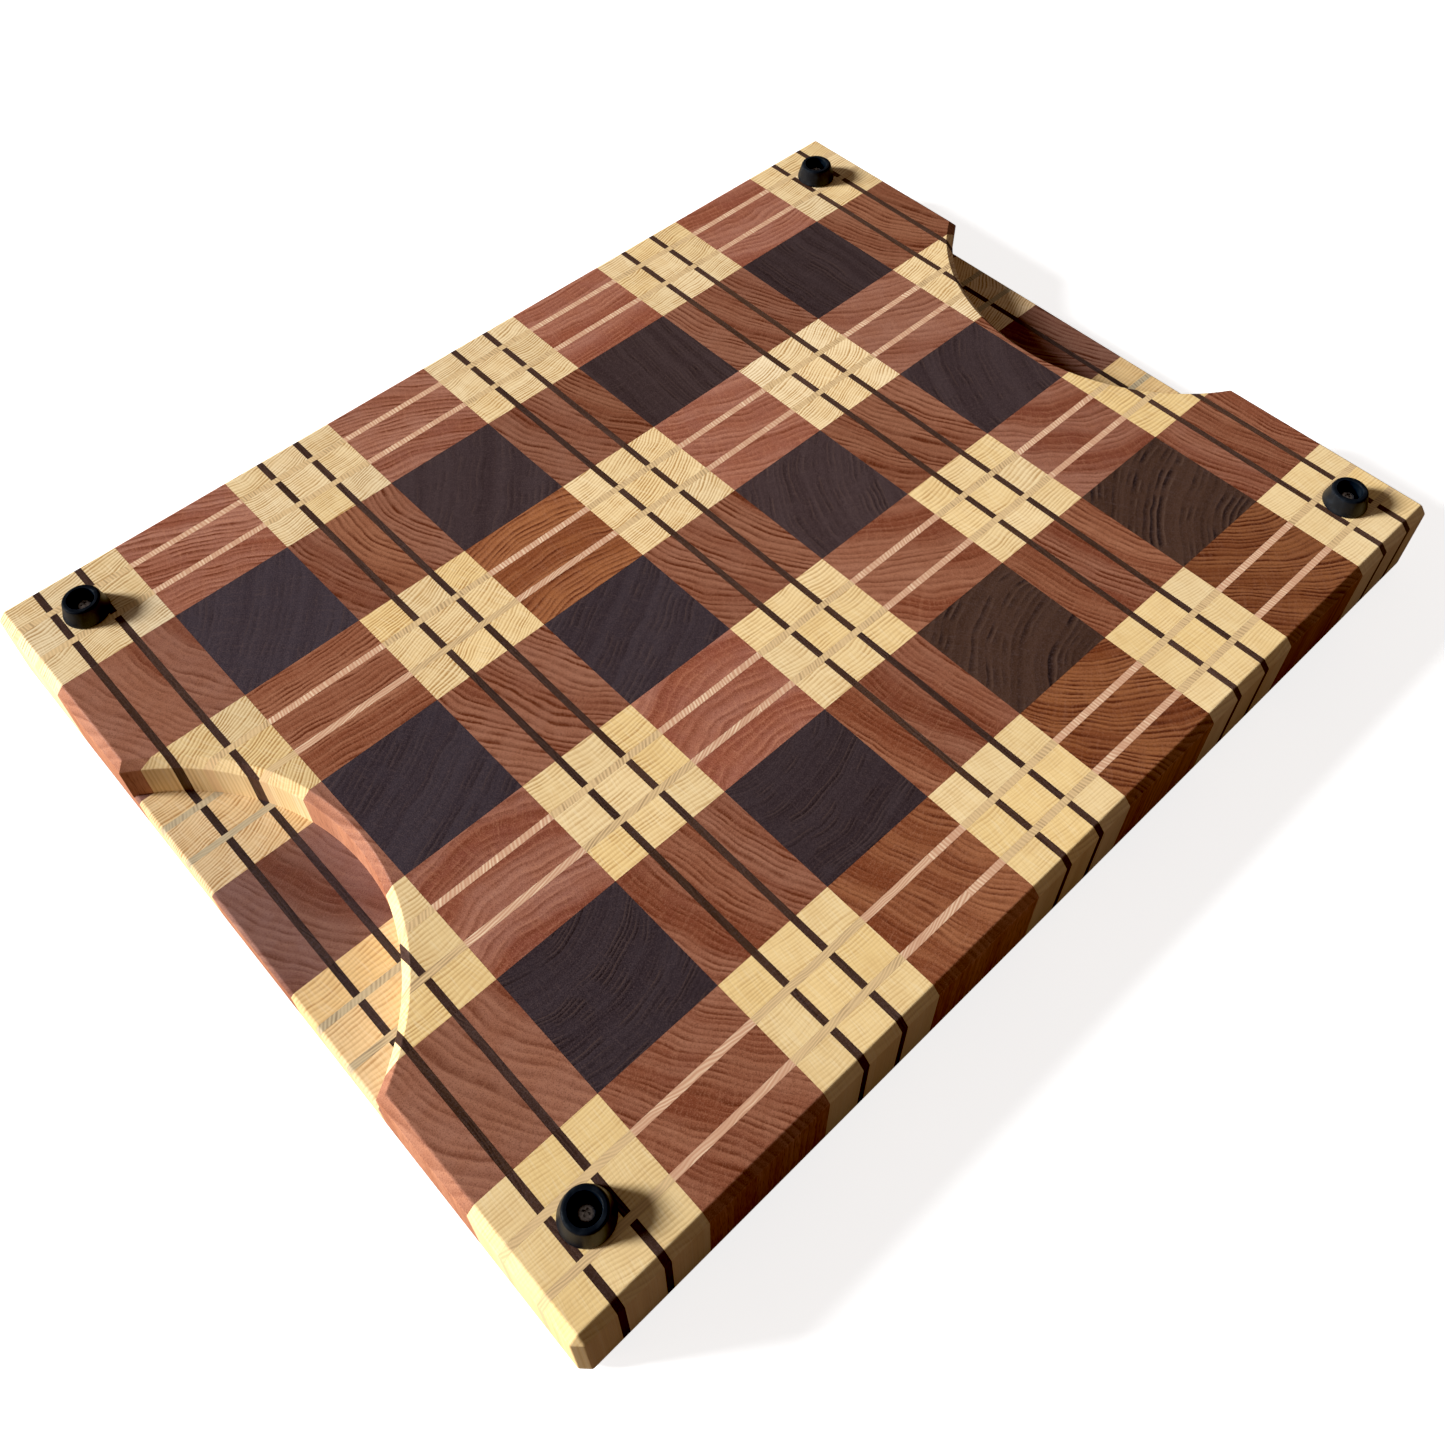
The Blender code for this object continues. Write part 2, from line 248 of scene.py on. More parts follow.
# The striped blocks of the first column are duller and cooler than the rest of their rows.
LEFT_STRIPE_GRAIN = Grain(-66, 90, 3.2, 0.45, 0.74, 0.15, 1.0)
THIN_DARK_GRAIN = Grain(88, 400, 1.2, 0.6, 0.95, 0.3)
# A thin pale strip has rings straight across, like the rungs of a ladder.
PALE_LADDER_GRAIN = {
    "1a": Grain(97, 300, 1.4, 0.60, 1.0, 0.5),
    "1b": Grain(94, 300, 1.4, 0.60, 1.0, 0.5),
    "2a": Grain(80, 200, 1.4, 0.60, 1.0, 0.6),
    "2b": Grain(72, 400, 1.4, 0.75, 1.0, 0.6),
    "3a": Grain(86, 300, 1.4, 0.60, 1.0, 0.5),
    "3b": Grain(84, 300, 1.4, 0.75, 1.0, 0.5),
    "4a": Grain(86, 300, 1.4, 0.65, 1.0, 0.5),
    "4b": Grain(92, 300, 1.4, 0.65, 1.0, 0.5),
}
# Four of these strips begin with a length whose rings run nearly along it.
PALE_STREAK_GRAIN = {
    "1a": Grain(7, 400, 1.0, 0.55, 0.97, 0.4),
    "1b": Grain(-7, 400, 1.0, 0.55, 0.97, 0.4),
    "2a": Grain(13, 300, 1.1, 0.80, 0.97, 0.4, 0.5),
    "3a": Grain(9, 350, 1.0, 0.70, 0.97, 0.4),
}
STREAK_CELLS = 3.65  # that length, in cells


# ---------------------------------------------------------------- node helpers


class Tree:
    """A material's nodes. The methods add nodes, and most return the socket that carries the result."""

    def __init__(self, material):
        self.nodes = material.node_tree.nodes
        self.links = material.node_tree.links

    def put(self, socket, value):
        if isinstance(value, bpy.types.NodeSocket):
            self.links.new(value, socket)
        elif socket.type == "RGBA" and len(value) == 3:
            socket.default_value = (*value, 1.0)
        else:
            socket.default_value = value

    def node(self, kind, inputs, **settings):
        node = self.nodes.new(kind)
        for name, value in settings.items():
            setattr(node, name, value)
        for key, value in inputs.items():
            self.put(node.inputs[key], value)
        return node

    def math(self, operation, *values, clamp=False):
        inputs = dict(enumerate(values))
        return self.node("ShaderNodeMath", inputs, operation=operation, use_clamp=clamp).outputs[0]

    def vector(self, operation, *values):
        return self.node("ShaderNodeVectorMath", dict(enumerate(values)), operation=operation).outputs[0]

    def scale(self, vector, factor):
        node = self.node("ShaderNodeVectorMath", {0: vector}, operation="SCALE")
        self.put(node.inputs["Scale"], factor)
        return node.outputs[0]

    def length(self, vector):
        return self.node("ShaderNodeVectorMath", {0: vector}, operation="LENGTH").outputs["Value"]

    def split(self, vector):
        return self.node("ShaderNodeSeparateXYZ", {0: vector}).outputs

    def join(self, x, y, z):
        return self.node("ShaderNodeCombineXYZ", {0: x, 1: y, 2: z}).outputs[0]

    def noise(self, vector, scale, detail=2.0, roughness=0.5, output="Fac"):
        inputs = {"Vector": vector, "Scale": scale, "Detail": detail, "Roughness": roughness}
        return self.node("ShaderNodeTexNoise", inputs).outputs[output]

    def colour(self, factor, a, b, mode="MIX"):
        inputs = {0: factor, 6: a, 7: b}
        return self.node("ShaderNodeMix", inputs, data_type="RGBA", blend_type=mode).outputs[2]

    def wash(self, colour, value, low, high, amount, tint):
        """The colour, with up to that amount of the tint laid over it as value steps from low to high."""
        return self.colour(self.math("MULTIPLY", self.step(value, low, high), amount), colour, tint)

    def step(self, value, low, high, to_low=0.0, to_high=1.0):
        """A smooth step of value from low to high."""
        inputs = {0: value, 1: low, 2: high, 3: to_low, 4: to_high}
        kind = "ShaderNodeMapRange"
        return self.node(kind, inputs, interpolation_type="SMOOTHSTEP", clamp=True).outputs[0]

    def spread(self, value, low, high):
        """Value from 0..1 to low..high, unclamped."""
        return self.math("MULTIPLY_ADD", value, high - low, low)

    def attribute(self, name):
        node = self.node("ShaderNodeAttribute", {}, attribute_name=name)
        return node.outputs["Vector"]

    def place(self):
        """The point's place in millimetres."""
        node = self.node("ShaderNodeTexCoord", {})
        return self.vector("MULTIPLY", node.outputs["Object"], (1000, 1000, 1000))

    def facing_up(self):
        """1 on a level face that looks up, 0 on an upright one, -1 on the cutting face."""
        return self.split(self.node("ShaderNodeNewGeometry", {}).outputs["Normal"])[2]

    def bump(self, height, distance, strength=1.0):
        inputs = {"Height": height, "Distance": distance, "Strength": strength}
        return self.node("ShaderNodeBump", inputs).outputs[0]


def new_material(name):
    """An empty Principled material: (material, its tree, its shader node)."""
    material = bpy.data.materials.new(name)
    material.use_nodes = True
    return material, Tree(material), material.node_tree.nodes["Principled BSDF"]


# ---------------------------------------------------------------- woods


@dataclass
class Rings:
    """Sockets that a wood's colour is made from."""

    phase: object  # 0 to 1 from one ring line to the next
    strength: object  # of this ring's line, 0 to 1
    count: object  # rings from the pith
    rays: object  # streaks away from the pith, 0 to 1
    pores: object  # fine speckle, drawn out along the grain, 0 to 1
    mottle: object  # soft patches, 0 to 1
    fade: object  # how well the ring lines show here, 0 to 1
    contrast: object
    tone: object
    warmth: object
    side: object  # 0 on end grain, 1 on long grain
    upright: object  # 1 on the upright faces only
    recess_floor: object  # 1 on the floors of the recesses


def growth_rings(tree, ray_width=0.5, pore_size=0.33, loose=0.9):
    """The rings of the block that the face belongs to, from its pith, grain and look attributes. Rays and
    pores are as wide as given, in millimetres, and loose is how far a ring strays from its even place."""
    pith_x, pith_y, reach = tree.split(tree.attribute("pith"))
    pitch, seed, sway = tree.split(tree.attribute("grain"))
    contrast, tone, warmth = tree.split(tree.attribute("look"))
    place = tree.place()
    along = tree.vector("MULTIPLY", place, (1.0, 1.0, DRAWN_OUT))
    own = tree.vector("ADD", along, tree.join(tree.math("MULTIPLY", seed, SEED_STRIDE), seed, 0.0))

    # The place is bent a little before its distance from the pith is taken.
    middle = (0.5, 0.5, 0.5)
    slow = tree.vector("SUBTRACT", tree.noise(own, WANDER_SCALE, 1.0, output="Color"), middle)
    quick = tree.vector("SUBTRACT", tree.noise(own, RIPPLE_SCALE, 1.5, output="Color"), middle)
    wander = tree.scale(slow, tree.math("MULTIPLY", sway, WANDER_REACH))
    ripple = tree.scale(quick, tree.math("MULTIPLY", sway, RIPPLE_REACH))
    moved = tree.vector("ADD", tree.vector("ADD", place, wander), ripple)
    from_pith = tree.vector("SUBTRACT", moved, tree.join(pith_x, pith_y, 0.0))
    flat = tree.vector("MULTIPLY", from_pith, (1.0, 1.0, 0.0))
    radius = tree.length(flat)
    x, y, _ = tree.split(flat)
    turn = tree.math("MULTIPLY", tree.math("ARCTAN2", y, x), reach)

    # Rings are counted from the pith, and each has its own width and strength.
    count = tree.math("DIVIDE", radius, pitch)
    uneven = tree.noise(tree.join(count, seed, 3.0), 0.45, 1.0)
    count = tree.math("ADD", count, tree.spread(uneven, -loose, loose))
    index = tree.math("ADD", tree.math("FLOOR", count), seed)
    strength = tree.node("ShaderNodeTexWhiteNoise", {"W": index}, noise_dimensions="1D").outputs["Value"]

    across, outward = tree.math("DIVIDE", turn, ray_width), tree.math("MULTIPLY", radius, RAY_STRETCH)
    rays = tree.noise(tree.join(across, outward, seed), 1.0, 1.0)
    pores = tree.noise(own, 1.0 / pore_size, 1.0, 0.6)
    mottle = tree.noise(own, MOTTLE_SCALE, 3.0, 0.6)
    fade = tree.step(tree.noise(own, FADE_SCALE, 1.0), 0.36, 0.62)

    # Which way the face looks, and whether it is a recess's floor.
    up = tree.facing_up()
    side = tree.step(tree.math("ABSOLUTE", up), 0.98, 0.4)
    upright = tree.step(tree.math("ABSOLUTE", up), 0.5, 0.2)
    low_down = tree.step(tree.split(place)[2], MILLED_BELOW + 1.0, MILLED_BELOW - 1.0)
    recess_floor = tree.math("MULTIPLY", low_down, tree.step(up, 0.3, 0.6))
    contrast = tree.math("MULTIPLY", contrast, tree.spread(side, 1.0, 0.45))
    phase = tree.math("FRACT", count)
    look = (contrast, tone, warmth, side, upright, recess_floor)
    return Rings(phase, strength, count, rays, pores, mottle, fade, *look)


def ring_line(tree, rings, rise, fall, strength, fade):
    """The dark line of each ring, 0 to 1. It rises and falls at these shares of the ring, and its strength
    from ring to ring and from place to place stays in these ranges."""
    line = tree.math("MULTIPLY", tree.step(rings.phase, *rise), tree.step(rings.phase, *fall))
    line = tree.math("MULTIPLY", line, tree.spread(rings.strength, *strength))
    line = tree.math("MULTIPLY", line, tree.spread(rings.fade, *fade))
    return tree.math("MULTIPLY", line, rings.contrast, clamp=True)


def finish_wood(tree, shader, rings, colour, relief, side_tint, recess_floor_tint=(0.68, 0.78, 0.95)):
    """Oiled wood: end grain as it is, long grain in its own tint, which for the red wood is partly painted
    light, and the floor of each recess darker, cooler and duller.
    """
    tone = tree.join(rings.tone, rings.tone, rings.tone)
    colour = tree.colour(1.0, colour, tone, "MULTIPLY")
    colour = tree.colour(rings.side, colour, tree.colour(1.0, colour, side_tint, "MULTIPLY"))
    # The floors of the recesses are darker and cooler by this tint.
    colour = tree.colour(rings.recess_floor, colour, tree.colour(1.0, colour, recess_floor_tint, "MULTIPLY"))
    tree.put(shader.inputs["Base Color"], colour)
    dull = tree.math("MULTIPLY", tree.math("MAXIMUM", rings.recess_floor, rings.upright), DULLER)
    roughness = tree.math("ADD", tree.spread(rings.pores, *OILED), dull)
    tree.put(shader.inputs["Roughness"], roughness)
    tree.put(shader.inputs["Normal"], tree.bump(relief, GRAIN_DEPTH, GRAIN_STRENGTH))
    shader.inputs["IOR"].default_value = OIL_IOR


def maple_material():
    material, tree, shader = new_material("maple")
    rings = growth_rings(tree, ray_width=0.45, pore_size=0.3, loose=0.5)
    line = ring_line(tree, rings, rise=(0.20, 0.72), fall=(1.0, 0.80), strength=(0.6, 1.4), fade=(0.6, 1.1))
    cream = tree.colour(rings.warmth, (0.86, 0.70, 0.46), (0.87, 0.63, 0.29))
    tan = tree.colour(rings.warmth, (0.46, 0.28, 0.12), (0.48, 0.255, 0.080))
    colour = tree.colour(line, cream, tan)
    colour = tree.wash(colour, rings.rays, 0.50, 0.72, 0.32, (0.90, 0.74, 0.48))
    colour = tree.wash(colour, rings.rays, 0.46, 0.26, 0.22, (0.55, 0.34, 0.15))
    colour = tree.wash(colour, rings.pores, 0.58, 0.78, 0.25, (0.46, 0.28, 0.11))
    colour = tree.wash(colour, rings.mottle, 0.42, 0.78, 0.30, (0.66, 0.42, 0.17))
    relief = tree.math("ADD", rings.pores, line)
    finish_wood(tree, shader, rings, colour, relief, (1.05, 1.03, 1.05), recess_floor_tint=(0.87, 0.84, 0.88))
    return material


def red_hardwood_material():
    material, tree, shader = new_material("red_hardwood")
    rings = growth_rings(tree, ray_width=0.6, pore_size=0.36)
    line = ring_line(tree, rings, rise=(0.22, 0.82), fall=(1.0, 0.80), strength=(0.5, 1.4), fade=(0.55, 1.1))
    band = tree.noise(tree.join(rings.count, 5.0, 1.0), 0.32, 2.0)
    pale = tree.colour(rings.warmth, (0.388, 0.180, 0.130), (0.475, 0.176, 0.068))
    deep = tree.colour(rings.warmth, (0.225, 0.067, 0.042), (0.245, 0.061, 0.020))
    colour = tree.colour(tree.step(band, 0.30, 0.70), deep, pale)
    colour = tree.wash(colour, rings.mottle, 0.38, 0.66, 0.30, (0.300, 0.095, 0.045))
    colour = tree.colour(line, colour, (0.135, 0.030, 0.012))
    light_line = tree.math("MULTIPLY", tree.step(rings.phase, 0.30, 0.02), rings.fade)
    colour = tree.colour(tree.math("MULTIPLY", light_line, 0.22), colour, (0.56, 0.25, 0.14))
    colour = tree.wash(colour, rings.rays, 0.50, 0.74, 0.20, (0.48, 0.21, 0.12))
    colour = tree.wash(colour, rings.pores, 0.52, 0.74, 0.55, (0.085, 0.022, 0.011))
    colour = tree.wash(colour, rings.pores, 0.46, 0.28, 0.30, (0.55, 0.27, 0.17))
    # Long grain is lighter than end grain, and this strong tint is partly painted light too: it brightens
    # the red's sides, the lit end and the shaded front alike.
    side_tint = tree.colour(rings.warmth, (1.45, 1.42, 1.20), (1.8, 2.0, 2.0))
    finish_wood(tree, shader, rings, colour, rings.pores, side_tint)
    return material


def dark_hardwood_material():
    material, tree, shader = new_material("dark_hardwood")
    rings = growth_rings(tree, ray_width=0.7, pore_size=0.34, loose=0.6)
    line = ring_line(tree, rings, rise=(0.15, 0.85), fall=(1.0, 0.85), strength=(0.1, 1.1), fade=(0.2, 1.0))
    band = tree.noise(tree.join(rings.count, 9.0, 2.0), 0.5, 2.0)
    # The purple of the cool ends is a painted sheen of the sky over the near-black wood; the warm ends are
    # the wood's own brown.
    pale = tree.colour(rings.warmth, (0.049, 0.038, 0.047), (0.082, 0.041, 0.025))
    deep = tree.colour(rings.warmth, (0.035, 0.026, 0.033), (0.052, 0.024, 0.013))
    colour = tree.colour(tree.step(band, 0.25, 0.75), deep, pale)
    colour = tree.colour(line, colour, (0.012, 0.007, 0.007))
    glow = tree.math("MULTIPLY", tree.step(rings.phase, 0.4, 0.0), tree.spread(rings.strength, 0.0, 0.7))
    glow = tree.math("MULTIPLY", tree.math("MULTIPLY", glow, rings.contrast), rings.fade)
    colour = tree.colour(glow, colour, (0.120, 0.072, 0.052))
    colour = tree.wash(colour, rings.rays, 0.56, 0.78, 0.22, (0.110, 0.072, 0.068))
    colour = tree.wash(colour, rings.pores, 0.50, 0.72, 0.55, (0.110, 0.074, 0.074))
    colour = tree.wash(colour, rings.pores, 0.46, 0.28, 0.60, (0.015, 0.009, 0.009))
    finish_wood(tree, shader, rings, colour, rings.pores, (1.15, 1.0, 0.9))
    return material


def pale_strip_material(board):
    """Thin strips whose rings cross most of them like the rungs of a ladder: brown rungs in the light cells,
    cream rungs between the red blocks."""
    material, tree, shader = new_material("pale_strip")
    rings = growth_rings(tree, ray_width=0.6, pore_size=0.3, loose=0.4)
    from_left = tree.math("SUBTRACT", tree.split(tree.place())[0], board.low.x / MM)
    in_pair = tree.math("FRACT", tree.math("DIVIDE", from_left, 2 * board.cell / MM))
    light_cell = tree.step(in_pair, 0.505, 0.495)
    rung = ring_line(tree, rings, (0.15, 0.45), (0.95, 0.65), strength=(0.4, 1.2), fade=(0.55, 1.1))
    tan = tree.colour(rung, (0.72, 0.51, 0.27), (0.38, 0.25, 0.13))
    pink = tree.colour(rung, (0.57, 0.31, 0.195), (0.88, 0.66, 0.45))
    colour = tree.colour(light_cell, pink, tan)
    colour = tree.wash(colour, rings.pores, 0.58, 0.80, 0.30, (0.40, 0.22, 0.11))
    finish_wood(tree, shader, rings, colour, rings.pores, (1.05, 1.0, 1.0))
    return material


# ---------------------------------------------------------------- rubber and steel


def rubber_material():
    material, tree, shader = new_material("rubber")
    place = tree.place()
    grain = tree.noise(place, 6.0, 2.0)
    haze = tree.noise(place, 0.35, 3.0)
    # Bluish-grey patches over the black rubber: a painted reflection of the sky.
    painted_sky_reflection = tree.step(haze, 0.45, 0.80, 0.0, 0.35)
    colour = tree.colour(painted_sky_reflection, (0.006, 0.008, 0.011), (0.022, 0.028, 0.036))
    tree.put(shader.inputs["Base Color"], colour)
    tree.put(shader.inputs["Roughness"], tree.spread(haze, 0.34, 0.52))
    shader.inputs["Specular IOR Level"].default_value = 0.35
    tree.put(shader.inputs["Normal"], tree.bump(grain, 0.02 * MM, 0.5))
    return material


def steel_material(name, bright, dull, roughness):
    """Plated steel with wear: bright and dull patches, and a finely pitted surface."""
    material, tree, shader = new_material(name)
    place = tree.place()
    wear = tree.noise(place, 0.9, 4.0, 0.65)
    tree.put(shader.inputs["Base Color"], tree.colour(tree.step(wear, 0.38, 0.62), bright, dull))
    tree.put(shader.inputs["Roughness"], tree.spread(wear, *roughness))
    tree.put(shader.inputs["Normal"], tree.bump(tree.noise(place, 3.5, 2.0), 0.03 * MM, 0.7))
    shader.inputs["Metallic"].default_value = 1.0
    return material


# ---------------------------------------------------------------- meshes


def link(name, mesh, *materials):
    obj = bpy.data.objects.new(name, mesh)
    for material in materials:
        mesh.materials.append(material)
    bpy.context.scene.collection.objects.link(obj)
    return obj


def mesh_from(name, bm):
    bmesh.ops.recalc_face_normals(bm, faces=bm.faces)
    mesh = bpy.data.meshes.new(name)
    bm.to_mesh(mesh)
    bm.free()
    return mesh


def add_box(bm, low, high):
    size = Matrix.Diagonal((*(high - low), 1.0))
    bmesh.ops.create_cube(bm, size=1.0, matrix=Matrix.Translation((low + high) / 2) @ size)


def cut(obj, operation, cutter):
    modifier = obj.modifiers.new(operation.lower(), "BOOLEAN")
    modifier.operation = operation
    modifier.solver = "EXACT"
    modifier.object = cutter


def bake_modifiers(obj):
    """Applies the object's modifiers to its mesh."""
    graph = bpy.context.evaluated_depsgraph_get()
    mesh = bpy.data.meshes.new_from_object(obj.evaluated_get(graph), depsgraph=graph)
    obj.modifiers.clear()
    old = obj.data
    obj.data = mesh
    bpy.data.meshes.remove(old)


def smooth(mesh, sharp):
    mesh.shade_smooth()
    mesh.set_sharp_from_angle(angle=math.radians(sharp))


def circle(bm, radius, z, sides):
    """A ring of points round the Z axis, or the one point on it."""
    angles = [2 * math.pi * side / sides for side in range(sides if radius > 0 else 1)]
    return [bm.verts.new((radius * math.cos(a), radius * math.sin(a), z)) for a in angles]


def bridge(bm, pairs, sides):
    """Faces between the two rings of each pair. A ring of one point closes a cap."""
    for first, second in pairs:
        for side in range(sides):
            corners = []
            for ring, place in ((first, side), (first, side + 1), (second, side + 1), (second, side)):
                vert = ring[place % len(ring)]
                if vert not in corners:
                    corners.append(vert)
            bm.faces.new(corners)


def turned_mesh(name, profile, sides=TURNED_SIDES):
    """Turns (radius, z) points round the Z axis. A profile that is off the axis closes into a ring."""
    bm = bmesh.new()
    rings = [circle(bm, radius, z, sides) for radius, z in profile]
    pairs = list(zip(rings, rings[1:]))
    if profile[0][0] > 0 and profile[-1][0] > 0:
        pairs.append((rings[-1], rings[0]))
    bridge(bm, pairs, sides)
    mesh = mesh_from(name, bm)
    smooth(mesh, SHARP)
    return mesh


def arc(centre, radius, start, end, steps):
    points = []
    for step in range(steps + 1):
        angle = math.radians(start + (end - start) * step / steps)
        points.append((centre[0] + radius * math.cos(angle), centre[1] + radius * math.sin(angle)))
    return points


# ---------------------------------------------------------------- the board's layout


class Board:
    """Sizes of the board, read from the frame."""

    def __init__(self):
        first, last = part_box("light_bar_1a"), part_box(f"light_bar_{ROWS // 2 + 1}c")
        self.low = Vector((first[0].x, first[0].y, first[0].z))
        self.high = Vector((last[1].x, last[1].y, last[1].z))
        self.length, self.width, self.thickness = self.high - self.low
        self.cell = self.length / COLUMNS
        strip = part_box("thin_strip_1a")
        self.strip = strip[1].y - strip[0].y + FRAME_GAP
        self.bar = (self.cell - 2 * self.strip) / 3

    def light_band(self, start):
        """(is it a bar, letter, low, high) of a light band's bars and thin strips."""
        spans = []
        for index, letter in enumerate("abc"):
            low = start + index * (self.bar + self.strip)
            spans.append((True, letter, low, low + self.bar))
            if letter != "c":
                spans.append((False, letter, low + self.bar, low + self.bar + self.strip))
        return spans


def grain_with(grain, lean=0.0, bow=1.0, pitch=1.0, tone=1.0, warmth=0.0):
    """A copy of the grain, varied a little as from board to board."""
    return Grain(
        grain.lean + lean,
        grain.bow * bow,
        grain.pitch * pitch,
        grain.contrast,
        grain.tone * tone,
        min(max(grain.warmth + warmth, 0.0), 1.0),
        grain.sway,
    )


def varied(rng, grain, lean=4.0, tone=0.03, warmth=0.1):
    return grain_with(
        grain,
        lean=rng.uniform(-lean, lean),
        bow=rng.uniform(0.8, 1.25),
        pitch=rng.uniform(0.92, 1.08),
        tone=rng.uniform(1 - tone, 1 + tone),
        warmth=rng.uniform(-warmth, warmth),
    )


def thin_dark_grain(column):
    """Thin dark strips are browner toward the board's right end, with less of the dark wood's painted purple
    sheen there.
    """
    share = column / (COLUMNS - 1)
    return grain_with(THIN_DARK_GRAIN, tone=0.88 + 0.27 * share, warmth=0.5 + 0.2 * share)


def light_bar_blocks(board, row, low_y, high_y, rng):
    """The blocks of one bar of light row `row`, from left to right."""
    blocks = []
    for column in range(COLUMNS):
        start = board.low.x + column * board.cell
        if column % 2:
            grain = varied(rng, RED_CELL_GRAIN[row][column // 2], lean=3, tone=0.02, warmth=0.05)
            low, high = start, start + board.cell
            blocks.append(Block("red_hardwood", Vector((low, low_y)), Vector((high, high_y)), grain))
            continue
        for is_bar, letter, low, high in board.light_band(start):
            if is_bar:
                wood = "maple"
                extra = MAPLE_LAST_LEAN[row] * "abc".index(letter) / 2
                tone, warmth = MAPLE_CELL_LOOK[row][column // 2]
                grain = varied(rng, MAPLE_GRAIN[row], warmth=0.25)
                grain = grain_with(grain, lean=extra, tone=tone, warmth=warmth)
            else:
                wood = "dark_hardwood"
                grain = varied(rng, thin_dark_grain(column), tone=0.12, warmth=0.1)
            blocks.append(Block(wood, Vector((low, low_y)), Vector((high, high_y)), grain))
    return blocks


def striped_blocks(board, row, column, low_y, rng):
    """The three red blocks and two thin dark ones where a light column crosses a dark row."""
    start = board.low.x + 2 * column * board.cell
    red = RED_STRIPE_GRAIN[row] if column else LEFT_STRIPE_GRAIN
    blocks = []
    for is_bar, _, low, high in board.light_band(start):
        source = red if is_bar else thin_dark_grain(2 * column)
        grain = varied(rng, source, lean=6, tone=0.05 if is_bar else 0.15, warmth=0.15)
        wood = "red_hardwood" if is_bar else "dark_hardwood"
        blocks.append(Block(wood, Vector((low, low_y)), Vector((high, low_y + board.cell)), grain))
    return blocks


def dark_square(board, row, column, low_y):
    low = Vector((board.low.x + (2 * column + 1) * board.cell, low_y))
    grain = DARK_SQUARE_GRAIN[row][column]
    return [Block("dark_hardwood", low, low + Vector((board.cell, board.cell)), grain)]


def pale_strip(board, name, low_y, high_y):
    """One strip, in one length or two."""
    start, end = board.low.x, board.high.x
    join = start + STREAK_CELLS * board.cell if name in PALE_STREAK_GRAIN else start
    spans = [(join, end, PALE_LADDER_GRAIN[name])]
    if join > start:
        spans.insert(0, (start, join, PALE_STREAK_GRAIN[name]))
    return [Block("pale_strip", Vector((a, low_y)), Vector((b, high_y)), grain) for a, b, grain in spans]


def wooden_nodes(board):
    """Every wooden node's name with its blocks."""
    rng = random.Random(GRAIN_SEED)
    nodes = {}
    for row in range(ROWS):
        low_y = board.low.y + row * board.cell
        band = row // 2
        if row % 2 == 0:
            for is_bar, letter, low, high in board.light_band(low_y):
                name = f"{band + 1}{letter}"
                if is_bar:
                    nodes[f"light_bar_{name}"] = light_bar_blocks(board, band, low, high, rng)
                else:
                    nodes[f"thin_strip_{name}"] = pale_strip(board, name, low, high)
            continue
        for column in range(COLUMNS // 2 + 1):
            name = f"striped_block_{band + 1}_{column + 1}"
            nodes[name] = striped_blocks(board, band, column, low_y, rng)
        for column in range(COLUMNS // 2):
            nodes[f"dark_block_{band + 1}_{column + 1}"] = dark_square(board, band, column, low_y)
    return nodes


# ---------------------------------------------------------------- the board's wood


def eased(corner, arriving, leaving):
    """Points that round off a corner of an outline, between its arriving and leaving directions."""
    corner = Vector(corner)
    start = corner - EASED * Vector(arriving).normalized()
    end = corner + EASED * Vector(leaving).normalized()
    return [tuple(start), tuple((start + 2 * corner + end) / 4), tuple(end)]


def recess_drum(board):
    """The recess's upright wall and its flared rim, turned round the recess's axis."""
    bottom = board.thickness / 2 - 2 * CHAMFER
    rim = board.thickness - CHAMFER
    above = board.thickness + PAST
    top_edge = eased((RECESS_RADIUS + CHAMFER, board.thickness), (1, 1), (1, CLEAR / EASED))
    profile = [
        (0, bottom),
        (RECESS_RADIUS, bottom),
        *eased((RECESS_RADIUS, rim), (0, 1), (1, 1)),
        *top_edge,
        (top_edge[-1][0] + PAST, above),
        (0, above),
    ]
    return turned_mesh("recess_drum", profile, RECESS_SIDES)


def recess_prism(board, side):
    """The recess's floor and the chamfer where the floor meets the board's end, run across the board."""
    floor = board.thickness / 2
    end = board.length / 2
    edge = end - FLOOR_CHAMFER
    inner, above = edge - 2 * RECESS_REACH, board.thickness + 2 * PAST
    end_edge = eased((end, floor - FLOOR_CHAMFER), (1, -1), (CLEAR / EASED, -1))
    outline = [
        (inner, floor),
        *eased((edge, floor), (1, 0), (1, -1)),
        *end_edge,
        (end + PAST, end_edge[-1][1]),
        (end + PAST, above),
        (inner, above),
    ]
    bm = bmesh.new()
    face = bm.faces.new([bm.verts.new((side * x, board.low.y, z)) for x, z in outline])
    extruded = bmesh.ops.extrude_face_region(bm, geom=[face])["geom"]
    moved = [item for item in extruded if isinstance(item, bmesh.types.BMVert)]
    bmesh.ops.translate(bm, vec=(0, board.width, 0), verts=moved)
    return mesh_from("recess_prism", bm)


def recess_cutter(board, side):
    """The space of one finger recess: a flared drum over a floor that turns down at the board's end."""
    drum = link(f"recess_drum_{side}", recess_drum(board))
    drum.location.x = side * (board.length / 2 - RECESS_REACH + RECESS_RADIUS)
    prism = link(f"recess_prism_{side}", recess_prism(board, side))
    cut(drum, "INTERSECT", prism)
    bpy.context.view_layer.update()
    bake_modifiers(drum)
    bpy.data.objects.remove(prism, do_unlink=True)
    return drum


